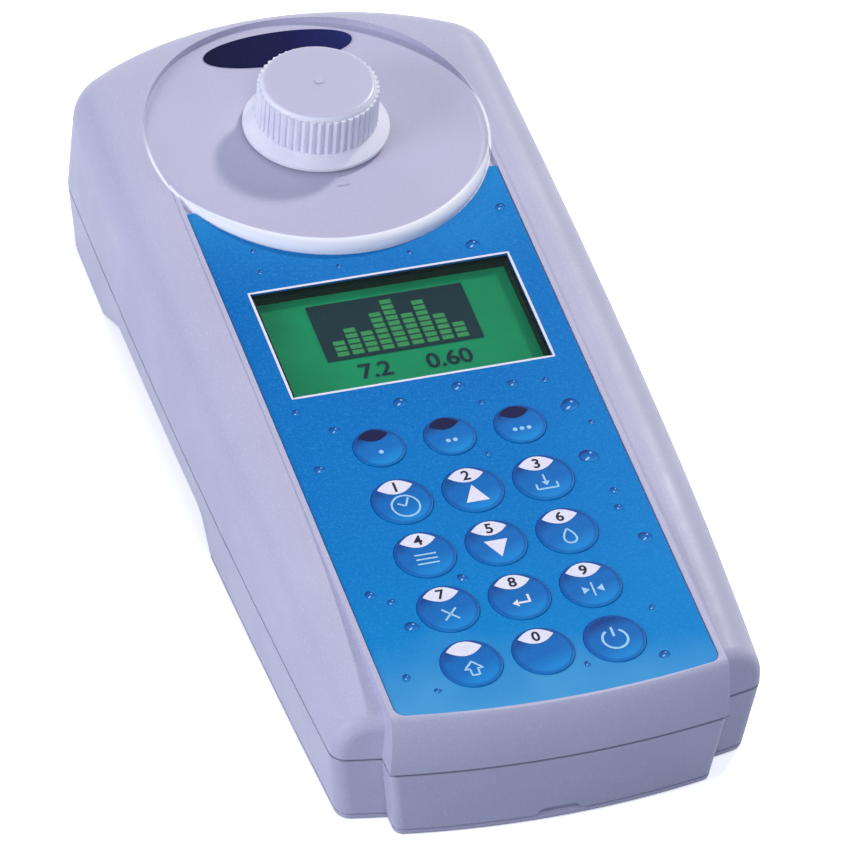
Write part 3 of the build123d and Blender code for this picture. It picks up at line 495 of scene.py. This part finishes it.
def stroke_grid(path, width, lift, closed=False):
    """Flat line of even width along a path of (u, v) rows: the path moved half a width to both sides."""
    path = np.asarray(path, float)
    if closed:
        ahead, behind = np.roll(path, -1, axis=0), np.roll(path, 1, axis=0)
    else:
        ahead = np.concatenate([path[1:], 2 * path[-1:] - path[-2:-1]])
        behind = np.concatenate([2 * path[:1] - path[1:2], path[:-1]])
    along = ahead - behind
    along = along / np.linalg.norm(along, axis=1, keepdims=True)
    normal = np.stack([-along[:, 1], along[:, 0]], axis=1)
    lines = np.stack([path - normal * width / 2, path + normal * width / 2])
    return film_point(lines[..., 0], lines[..., 1], lift), grid_faces(2, len(path), closed)


def arc_path(cu, cv, r, start, end, count=36):
    """Points on an arc of radius r from one angle to another, in degrees."""
    a = np.radians(np.linspace(start, end, count))
    return np.stack([cu + r * np.cos(a), cv + r * np.sin(a)], axis=1)


def line_path(*corners, step=0.4):
    """Points along straight runs between corners, about one step apart."""
    points = []
    for a, b in zip(corners[:-1], corners[1:]):
        a, b = np.array(a, float), np.array(b, float)
        count = max(2, int(np.linalg.norm(b - a) / step))
        points.append(a + (b - a) * np.linspace(0, 1, count, endpoint=False)[:, None])
    points.append(np.array([corners[-1]], float))
    return np.concatenate(points)


def bar_grid(u0, v0, u1, v1, lift):
    """Filled rectangle between two corners, as a grid of two by two points."""
    u = np.array([[u0, u1], [u0, u1]], float)
    v = np.array([[v0, v0], [v1, v1]], float)
    return film_point(u, v, lift), grid_faces(2, 2, False)


def fan_grid(corners, lift):
    """Filled polygon: its outline scaled about its middle by s from nearly 0 to 1."""
    ring = line_path(*corners, corners[0], step=0.5)[:-1]
    middle = ring.mean(axis=0)
    s = np.array([DISC_START, 0.5, 1.0])[:, None, None]
    points = middle + s * (ring - middle)
    return film_point(points[..., 0], points[..., 1], lift), grid_faces(3, len(ring), True)


def figures(text, cu, cv, height, lift, name, body, finish):
    """Plain figures in the film's slope: a text curve made a mesh, scaled to a height and laid flat."""
    curve = bpy.data.curves.new(name, "FONT")
    curve.body = text
    curve.size = height * 1.4
    curve.offset = FIGURE_WEIGHT * curve.size
    curve.resolution_u = 4
    holder = bpy.data.objects.new(name + "_curve", curve)
    mesh = bpy.data.meshes.new_from_object(holder)
    flat = np.empty(len(mesh.vertices) * 3)
    mesh.vertices.foreach_get("co", flat)
    flat = flat.reshape(-1, 3)
    flat[:, 0] -= (flat[:, 0].min() + flat[:, 0].max()) / 2
    flat[:, 1] -= (flat[:, 1].min() + flat[:, 1].max()) / 2
    scale = height / np.ptp(flat[:, 1])
    u, v = flat[:, 0] * scale, flat[:, 1] * scale
    placed = film_point(cu + u, cv + v, lift)
    mesh.vertices.foreach_set("co", placed.astype(np.float32).ravel())
    mesh.update()
    bpy.data.objects.remove(holder)
    bpy.data.curves.remove(curve)
    piece = painted_piece(name, mesh, finish)
    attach(piece, body)


# Finishes of the CAD pieces

paint(housing_plastic(), nodes["upper_housing"], nodes["lower_housing"], nodes["battery_cover"])
paint(moulded_plastic("chamber_black", "18181b", "121215", "232327", roughness=0.6), nodes["sample_chamber"])
paint(moulded_plastic("frame_black", "101614", "0b100f", "1a211f", roughness=0.5), nodes["display_frame"])
paint(soft_seal(), nodes["housing_seal"], nodes["battery_cover_seal"], nodes["chamber_seal"])
paint(brushed("screw_steel", "b9bbc0", "8f9196"), nodes["housing_screws"], nodes["battery_cover_screws"],
      nodes["board_screws"], nodes["chamber_screws"])
paint(brushed("contact_nickel", "d8d3c4", "a8a394"), nodes["battery_contacts"])
paint(brushed("dome_steel", "c9c6bd", "9f9c94", 0.22, 1400.0), nodes["snap_domes"])
paint(brushed("cell_jacket", "4a5568", "2f3848", 0.35, 300.0), nodes["batteries"])
paint(circuit_board(), nodes["main_board"], nodes["optics_board"])
film_blue = film_print_with_painted_glare()
paint(film_blue, nodes["keypad_film"])
paint(clear_pane(), nodes["display_window"])
paint(display_green(), nodes["display_glass"])
paint(moulded_plastic("light_guide", "a8e08c", "9ad680", "c4f0ac", roughness=0.3), nodes["display_backlight"])
paint(moulded_plastic("lamp_clear", "e4e8ee", "d6dbe3", "ffffff", roughness=0.12), nodes["leds"])
paint(brushed("filter_coat", "9aa4cc", "6f7ab0", 0.08, 200.0), nodes["interference_filters"])
paint(moulded_plastic("receiver_dark", "16101c", "0e0a13", "2a2033", roughness=0.15), nodes["photodiodes"])
paint(badge_navy(), nodes["deck_badge"])
vial_finish = vial_glass_finish()
paint(vial_finish, nodes["vial_glass"])
paint(cap_white(), nodes["vial_cap"])
paint(moulded_plastic("liner_white", "ecebe8", "e2e1dd", "f8f7f4", roughness=0.55), nodes["cap_liner"])

# Printed keys

key_drop = drop_print("key_drop", "062a78", "066cb8", "0850a0", "1490d8")
key_drop_dark = drop_print("key_drop_dark", "051a5c", "0870bc", "0850a0", "1894d8")
ink_white = plain_print("ink_white", "e9e4f2", "f7f4fb")
ink_pale = plain_print("ink_pale", "9fd2f2", "b9e0f7")
ink_black = plain_print("ink_black", "141b2c", "1f2940")
ink_navy = plain_print("ink_navy", "04083a", "070b48")


def key_face(name, cu, cv, r, finish):
    """Printed disc on a key: flat out to its edge, then down over the rounded edge by the edge's own arc."""
    body = f"key_{name}"
    edge = KEY_CROWN
    flat = np.linspace(DISC_START, (r - edge) / r, FLAT_RINGS)
    bend = np.linspace(0, np.pi / 2, 7)[1:]
    radius = np.concatenate([flat * r, r - edge + (edge + PRINT_LIFT) * np.sin(bend)])
    height = np.concatenate([np.full(FLAT_RINGS, edge + PRINT_LIFT), (edge + PRINT_LIFT) * np.cos(bend)])
    angle = np.linspace(0, 2 * np.pi, 96, endpoint=False)
    u = radius[:, None] * np.cos(angle)
    v = radius[:, None] * np.sin(angle)
    points = film_point(cu + u, cv + v, height[:, None])
    uv = np.stack([u / r, v / r], axis=-1)
    mesh_piece(f"{body}_print", points, grid_faces(len(radius), 96, True), body, finish, uv)


def key_lens(name, cu, cv, r, finish):
    """Lens-shaped highlight near the upper edge of a key, sized by the key's radius."""
    body = f"key_{name}"
    points, faces = lens_grid(cu - 0.06 * r, cv + LENS_RISE * r, 0.60 * r, 0.305 * r, SIGN_LIFT, 0.035)
    mesh_piece(f"{body}_highlight", points, faces, body, finish)


def symbol(name, grids, finish):
    """Printed sign on a key, from flat grids."""
    body = f"key_{name}"
    points, faces = join_grids(grids)
    mesh_piece(f"{body}_sign", points, faces, body, finish)


def key_centre(row, column):
    """Middle of a key on the film: columns and rows at even pitch."""
    return (column - 1) * KEY_PITCH_X, KEY_FRONT_V + (len(KEY_ROWS) - 1 - row) * KEY_PITCH_V


def main_keys():
    """Print of the twelve larger keys: shaded disc, pale highlight and, on the numbered ones, the figure."""
    for row, names in enumerate(KEY_ROWS):
        for column, key in enumerate(names):
            cu, cv = key_centre(row, column)
            paint(film_blue, nodes[f"key_{key}"])
            key_face(key, cu, cv, KEY_R, key_drop)
            if key != "on_off":
                key_lens(key, cu, cv, KEY_R, ink_white)
            if key.isdigit():
                figures(key, cu - 0.35, cv + LENS_RISE * KEY_R, DIGIT_HEIGHT, DIGIT_LIFT, f"key_{key}_figure",
                        f"key_{key}", ink_black)


def function_keys():
    """Print of the three function keys: shaded disc, navy highlight, and one, two or three dots."""
    for column in range(3):
        key = f"f{column + 1}"
        cu, cv = (column - 1) * KEY_PITCH_X, KEY_FUNCTION_V
        paint(film_blue, nodes[f"key_{key}"])
        key_face(key, cu, cv, FUNCTION_KEY_R, key_drop_dark)
        key_lens(key, cu, cv, FUNCTION_KEY_R, ink_navy)
        dots = [disc_grid(cu + DOT_PITCH * (n - column / 2), cv - 1.4, np.full(20, DOT_R), SIGN_LIFT, 3)
                for n in range(column + 1)]
        symbol(key, dots, ink_pale)


def sign(row, column, ink, bars=(), lines=(), loops=(), fills=(), width=0.42):
    """Sign on a key, from shapes given round the key's middle.

    A bar is two opposite corners, a line or a closed loop is a path, and a filled shape is its corners."""
    middle = key_centre(row, column)
    grids = [bar_grid(*np.add(low, middle), *np.add(high, middle), SIGN_LIFT) for low, high in bars]
    grids += [stroke_grid(np.add(path, middle), width, SIGN_LIFT) for path in lines]
    grids += [stroke_grid(np.add(path, middle), width, SIGN_LIFT, True) for path in loops]
    grids += [fan_grid(np.add(corners, middle), SIGN_LIFT) for corners in fills]
    symbol(KEY_ROWS[row][column], grids, ink)


def signs():
    """Generic signs in the lower part of the numbered keys and of the two outer keys in the front row."""
    clock = arc_path(0.3, -1.5, 2.9, 0, 360, 49)[:-1]
    hands = [line_path((-1.2, -0.6), (0.3, -1.5)), line_path((0.3, -1.5), (1.4, 0.7))]
    sign(0, 0, ink_pale, lines=hands, loops=[clock])
    sign(0, 1, ink_white, fills=[[(-2.5, -3.5), (2.5, -3.5), (0, 1.2)]])
    tray = line_path((-2.2, -1.7), (-2.2, -3.2), (2.2, -3.2), (2.2, -1.7), step=0.41)
    sign(0, 2, ink_pale, lines=[tray, line_path((0, 0.7), (0, -1.2))],
         fills=[[(-0.9, -1.2), (0, -2.4), (0.9, -1.2)]])

    sign(1, 0, ink_pale, bars=[((-2.3, v - 0.2), (2.3, v + 0.2)) for v in (0, -1.25, -2.5)])
    sign(1, 1, ink_white, fills=[[(-2.5, 0.6), (0, -4.1), (2.5, 0.6)]])
    a = np.linspace(0, 2 * np.pi, 48, endpoint=False)
    drip = np.stack([1.6875 * np.sin(a) * np.sin(a / 2), -1.6 + 2.0 * np.cos(a)], axis=1)
    sign(1, 2, ink_pale, loops=[drip])

    cross = [line_path((-1.5, -0.1), (1.5, -3.1)), line_path((-1.5, -3.1), (1.5, -0.1))]
    sign(2, 0, ink_pale, lines=cross)
    sign(2, 1, ink_white, lines=[line_path((1.6, 0.2), (1.6, -1.8), (-0.9, -1.8))],
         fills=[[(-0.8, -0.8), (-2.1, -1.8), (-0.8, -2.8)]], width=0.52)
    sign(2, 2, ink_pale, bars=[((-0.2, -3.4), (0.2, 0.4))],
         fills=[[(-2.2, -0.5), (-2.2, -2.5), (-0.7, -1.5)], [(2.2, -2.5), (2.2, -0.5), (0.7, -1.5)]])

    arrow = line_path((-0.8, -3.3), (-0.8, -1.6), (-1.9, -1.6), (0, 0.4), (1.9, -1.6), (0.8, -1.6),
                      (0.8, -3.3), (-0.8, -3.3))[:-1]
    sign(3, 0, ink_pale, loops=[arrow])
    switch = [arc_path(0, -0.2, 2.6, 122, 418), line_path((0, 0.5), (0, 3.0))]
    sign(3, 2, ink_pale, lines=switch, width=0.52)


main_keys()
function_keys()
signs()


# Window line and display

WINDOW_LINE = 0.55
WINDOW_MARGIN = 0.3
GRAPH_LEVELS = (3, 5, 4, 7, 9, 6, 8, 5, 3)
GRAPH_PITCH_U = 3.25
GRAPH_PITCH_V = 1.6


def window_line():
    """Thin pale frame printed round the window: a closed stroke along its edge."""
    half_u, half_v = WINDOW_WIDTH / 2 + WINDOW_MARGIN, WINDOW_HEIGHT / 2 + WINDOW_MARGIN
    ring = line_path((-half_u, -half_v), (half_u, -half_v), (half_u, half_v), (-half_u, half_v),
                     (-half_u, -half_v), step=2.0)[:-1]
    ring[:, 1] += WINDOW_V
    points, faces = stroke_grid(ring, WINDOW_LINE, PRINT_LIFT, True)
    mesh_piece("window_line", points, faces, "housing", ink_white)


def display_figures():
    """Picture on the display: a dark block with a bar graph, and plain figures below it."""
    lift = 0.02 - DISPLAY_DEPTH
    low = WINDOW_V - 8.6
    dark = plain_print("display_dark", "0a2f3c", "0e3a44", 0.3)
    bars = plain_print("display_bars", "3fae62", "58c074", 0.3)
    points, faces = bar_grid(-17, WINDOW_V - 4.5, 17, WINDOW_V + 12.0, lift)
    mesh_piece("display_block", points, faces, "housing", dark)
    grids = []
    for column, top in enumerate(GRAPH_LEVELS):
        for level in range(top):
            u = -14.4 + column * GRAPH_PITCH_U
            v = WINDOW_V - 3.4 + level * GRAPH_PITCH_V
            grids.append(bar_grid(u, v, u + 2.5, v + 1.2, lift + 0.02))
    points, faces = join_grids(grids)
    mesh_piece("display_bars", points, faces, "housing", bars)
    figures("7.2", -8.0, low, 4.4, lift, "display_figure_left", "housing", dark)
    figures("0.60", 8.0, low, 4.4, lift, "display_figure_right", "housing", dark)


window_line()
display_figures()


# Small printed drops

DROPS = 30
DROP_TRIES = 4000
DROP_SIZES = (0.7, 0.9, 1.1, 1.4, 1.9)
DROP_SHARES = (0.3, 0.25, 0.2, 0.15, 0.1)
GLINT_LIFT = 1.6 * PRINT_LIFT


def drop_is_clear(u, v, r, places):
    """Whether a drop keeps off the window, the keys, the deck and the drops placed before it."""
    middles = [(*key_centre(row, column), KEY_R) for row in range(4) for column in range(3)]
    middles += [((column - 1) * KEY_PITCH_X, KEY_FUNCTION_V, FUNCTION_KEY_R) for column in range(3)]
    off_window = abs(u) > WINDOW_WIDTH / 2 + r + 1 or abs(v - WINDOW_V) > WINDOW_HEIGHT / 2 + r + 1
    off_keys = all(math.hypot(u - a, v - b) > key_r + r + 1 for a, b, key_r in middles)
    off_deck = math.hypot(u, v - DECK_Y) > DECK_R + r + 1.5
    off_others = all(math.hypot(u - a, v - b) > r + other_r + 2.5 for a, b, other_r in places)
    return off_window and off_keys and off_deck and off_others


def film_drops():
    """Printed water drops scattered on the film: each is a wavy disc with two pale glints."""
    rng = np.random.default_rng(28)
    places = []
    tries = 0
    while len(places) < DROPS and tries < DROP_TRIES:
        tries += 1
        u, v = rng.uniform(-31, 31), rng.uniform(-98, 40)
        r = rng.choice(DROP_SIZES, p=DROP_SHARES)
        if drop_is_clear(u, v, r, places):
            places.append((u, v, r))
    angle = np.linspace(0, 2 * np.pi, 40, endpoint=False)
    ring = np.linspace(DISC_START, 1, DROP_RINGS)[:, None]
    unit_disc = np.stack([ring * np.cos(angle), ring * np.sin(angle)], axis=-1).reshape(-1, 2)
    drops, glints = [], []
    for u, v, r in places:
        wave = 1 + 0.12 * np.cos(2 * angle + rng.uniform(0, 6)) + 0.05 * np.cos(3 * angle + rng.uniform(0, 6))
        drops.append(disc_grid(u, v, r * wave, PRINT_LIFT, DROP_RINGS))
        glints.append(lens_grid(u - 0.25 * r, v - 0.35 * r, 0.4 * r, 0.14 * r, GLINT_LIFT, 0.6, 10, 4))
        glints.append(disc_grid(u + 0.35 * r, v + 0.45 * r, np.full(12, 0.14 * r), GLINT_LIFT, 3))
    small_drop = drop_print("small_drop", "05296e", "0464b4", "053282", "1a90d8")
    points, faces = join_grids(drops)
    uv = np.tile(unit_disc, (len(drops), 1))
    mesh_piece("film_drops", points, faces, "housing", small_drop, uv)
    glint = plain_print("glint", "8fc8ee", "b9dff6")
    points, faces = join_grids(glints)
    mesh_piece("film_drop_glints", points, faces, "housing", glint)


film_drops()

# Vial thread and fill line, screw recesses


def vial_thread():
    """Thread on the vial's neck: a low half-round ridge carried along a helix, fading out at both ends."""
    t = np.linspace(0, 1, 120)[:, None]
    s = np.linspace(0, np.pi, 9)[None, :]
    angle = 2 * np.pi * THREAD_TURNS * t
    fade = np.clip(np.minimum(t, 1 - t) / THREAD_FADE, 0, 1)
    r = NECK_R - 0.02 + THREAD_RISE * fade * np.sin(s)
    z = THREAD_START_Z + THREAD_PITCH * THREAD_TURNS * t - THREAD_HALF_WIDTH * np.cos(s)
    points = np.stack([r * np.cos(angle), VIAL_Y + r * np.sin(angle), z + 0 * r], axis=-1) * MM
    mesh_piece("vial_thread", points, grid_faces(120, 9, False), "vial", vial_finish)


def fill_line():
    """Printed ring round the vial at its fill height and a small triangle that shows its turning position."""
    t = np.linspace(0, 2 * np.pi, 96, endpoint=False)[None, :]
    z = np.array([FILL_Z, FILL_Z + FILL_LINE])[:, None]
    r = BODY_R + PRINT_LIFT
    ring = np.stack([r * np.cos(t) + 0 * z, VIAL_Y + r * np.sin(t) + 0 * z, z + 0 * t], axis=-1) * MM
    rows = np.linspace(0.02, 1, 6)[:, None]
    across = np.linspace(-0.12, 0.12, 9)[None, :] * rows - np.pi / 2
    height = FILL_Z - 2.7 + 2.2 * rows + 0 * across
    mark = np.stack([r * np.cos(across), VIAL_Y + r * np.sin(across), height], axis=-1) * MM
    points, faces = join_grids([(ring, grid_faces(2, 96, True)), (mark, grid_faces(6, 9, False))])
    mesh_piece("vial_fill_line", points, faces, "vial", ink_white)


def screw_recesses():
    """Cross recess of each screw head below, as painted shade: two dark bars across each other, just under
    the head.
    """
    spots = [(side * x, y, z, half) for *places, z, half in (HOUSING_SCREWS, COVER_SCREWS)
             for side in (-1, 1) for x, y in places]
    grids = []
    for x, y, z, half in spots:
        for turn in (0.0, np.pi / 2):
            along = half * np.array([[-1, 1], [-1, 1]], float)
            aside = RECESS_HALF_WIDTH * np.array([[1, 1], [-1, -1]], float)
            px = x + along * np.cos(turn) - aside * np.sin(turn)
            py = y + along * np.sin(turn) + aside * np.cos(turn)
            points = np.stack([px, py, np.full_like(px, z - 0.004 * turn)], axis=-1) * MM
            grids.append((points, grid_faces(2, 2, False)))
    points, faces = join_grids(grids)
    recess_painted_shade = plain_print("recess_painted_shade", "1a1b1f", "2a2b30")
    mesh_piece("screw_recesses", points, faces, "housing", recess_painted_shade)


vial_thread()
fill_line()
screw_recesses()

# Camera at the photograph's place, from a fit to points of the photo; lengths in an image are in pixels

AZIMUTH = math.radians(-20.918)
ELEVATION = math.radians(41.145)
ROLL = math.radians(4.623)
DISTANCE = 1927.069 * MM
FOCAL_PIXELS = 9227.383
FRAME_PIXELS = 854
SENSOR_WIDTH = 36.0
IMAGE_SHIFT = (400.166 - FRAME_PIXELS / 2, 482.021 - FRAME_PIXELS / 2)
FIT_OFFSET_Y = -2.0 * MM


def add_camera():
    """Camera whose axes come from azimuth, elevation and roll, moved sideways in place of an image shift."""
    back = np.array([math.sin(AZIMUTH) * math.cos(ELEVATION), -math.cos(AZIMUTH) * math.cos(ELEVATION),
                     math.sin(ELEVATION)])
    right = np.array([math.cos(AZIMUTH), math.sin(AZIMUTH), 0.0])
    up = np.cross(back, right)
    rolled_right = math.cos(ROLL) * right + math.sin(ROLL) * up
    rolled_up = -math.sin(ROLL) * right + math.cos(ROLL) * up
    aside = IMAGE_SHIFT[0] * DISTANCE / FOCAL_PIXELS
    above = -IMAGE_SHIFT[1] * DISTANCE / FOCAL_PIXELS
    place = DISTANCE * back - aside * rolled_right - above * rolled_up
    place[1] += FIT_OFFSET_Y
    data = bpy.data.cameras.new("camera")
    data.sensor_width = SENSOR_WIDTH
    data.lens = FOCAL_PIXELS / FRAME_PIXELS * SENSOR_WIDTH
    data.clip_end = 20.0
    camera = bpy.data.objects.new("camera", data)
    turn = Matrix(np.stack([rolled_right, rolled_up, back], axis=1).tolist())
    camera.matrix_world = Matrix.Translation(Vector(place)) @ turn.to_4x4()
    bpy.context.scene.collection.objects.link(camera)
    bpy.context.scene.camera = camera


add_camera()


# Studio


def add_floor():
    """Wide floor just under the object, see-through from below.

    It is near white to the camera and in reflections, and greyer where it throws light back at the object."""
    half, z = 3.0, -0.2 * MM
    mesh = bpy.data.meshes.new("floor")
    corners = [(-half, -half, z), (half, -half, z), (half, half, z), (-half, half, z)]
    mesh.from_pydata(corners, [], [(0, 1, 2, 3)])
    floor = bpy.data.objects.new("floor", mesh)
    bpy.context.scene.collection.objects.link(floor)
    finish = Finish("floor_white", Roughness=0.9, Specular_IOR_Level=0.1)
    pale = finish.ramp(finish.noise(3.0, 2.0, 0.5), (0.3, "fcfcfe"), (0.7, "ffffff"))
    path = finish.add("ShaderNodeLightPath")
    seen = finish.seen(path)
    finish.colour(finish.mix(seen, "8e99ae", pale))
    glow = finish.math("MULTIPLY", seen, 0.55)
    finish.set(finish.shader, Emission_Color=(1.0, 1.0, 1.0, 1.0), Emission_Strength=glow)
    back = finish.add("ShaderNodeNewGeometry").outputs["Backfacing"]
    below = finish.math("MULTIPLY", path.outputs["Is Camera Ray"], back)
    clear = finish.add("ShaderNodeBsdfTransparent")
    mix = finish.add("ShaderNodeMixShader", Fac=below)
    finish.tree.links.new(finish.shader.outputs["BSDF"], mix.inputs[1])
    finish.tree.links.new(clear.outputs["BSDF"], mix.inputs[2])
    finish.tree.links.new(mix.outputs[0], finish.tree.nodes["Material Output"].inputs["Surface"])
    paint(finish, floor)


def add_light(name, place, target, size, power, tint):
    """Round soft light of a width in metres and a power in watts, at a place, aimed at a point."""
    data = bpy.data.lights.new(name, "AREA")
    data.shape = "DISK"
    data.size = size
    data.energy = power
    data.color = linear(tint)[:3]
    light = bpy.data.objects.new(name, data)
    light.location = place
    light.rotation_euler = (Vector(target) - Vector(place)).to_track_quat("-Z", "Y").to_euler()
    bpy.context.scene.collection.objects.link(light)


def add_world():
    """Even surround: white to the camera, in reflections and through glass, pale blue and softer as light."""
    world = bpy.data.worlds.new("surround")
    bpy.context.scene.world = world
    world.use_nodes = True
    tree = world.node_tree
    lighting = tree.nodes["Background"]
    lighting.inputs["Color"].default_value = linear("c6d6f6")
    lighting.inputs["Strength"].default_value = 0.36
    plain = tree.nodes.new("ShaderNodeBackground")
    plain.inputs["Color"].default_value = (1, 1, 1, 1)
    path = tree.nodes.new("ShaderNodeLightPath")
    mix = tree.nodes.new("ShaderNodeMixShader")
    seen = path.outputs["Is Camera Ray"]
    for ray in REFLECTED:
        either = tree.nodes.new("ShaderNodeMath")
        either.operation = "MAXIMUM"
        tree.links.new(seen, either.inputs[0])
        tree.links.new(path.outputs[ray], either.inputs[1])
        seen = either.outputs[0]
    tree.links.new(seen, mix.inputs["Fac"])
    tree.links.new(lighting.outputs[0], mix.inputs[1])
    tree.links.new(plain.outputs[0], mix.inputs[2])
    tree.links.new(mix.outputs[0], tree.nodes["World Output"].inputs["Surface"])


add_floor()
add_world()
add_light("key_light", (0.85, 0.70, 0.92), (0, 0.02, 0.04), 0.16, 11.0, "fffaf4")
add_light("rear_light", (-0.5, 1.1, 0.7), (0, 0.05, 0.04), 0.5, 1.2, "f4f6ff")
add_light("left_light", (-1.15, -0.25, 0.5), (0, 0, 0.02), 0.7, 8.9, "f2f4ff")
add_light("front_light", (-0.15, -0.95, 1.2), (0, 0, 0.04), 0.5, 5.0, "f4f6ff")
bpy.context.scene.view_settings.view_transform = "Standard"
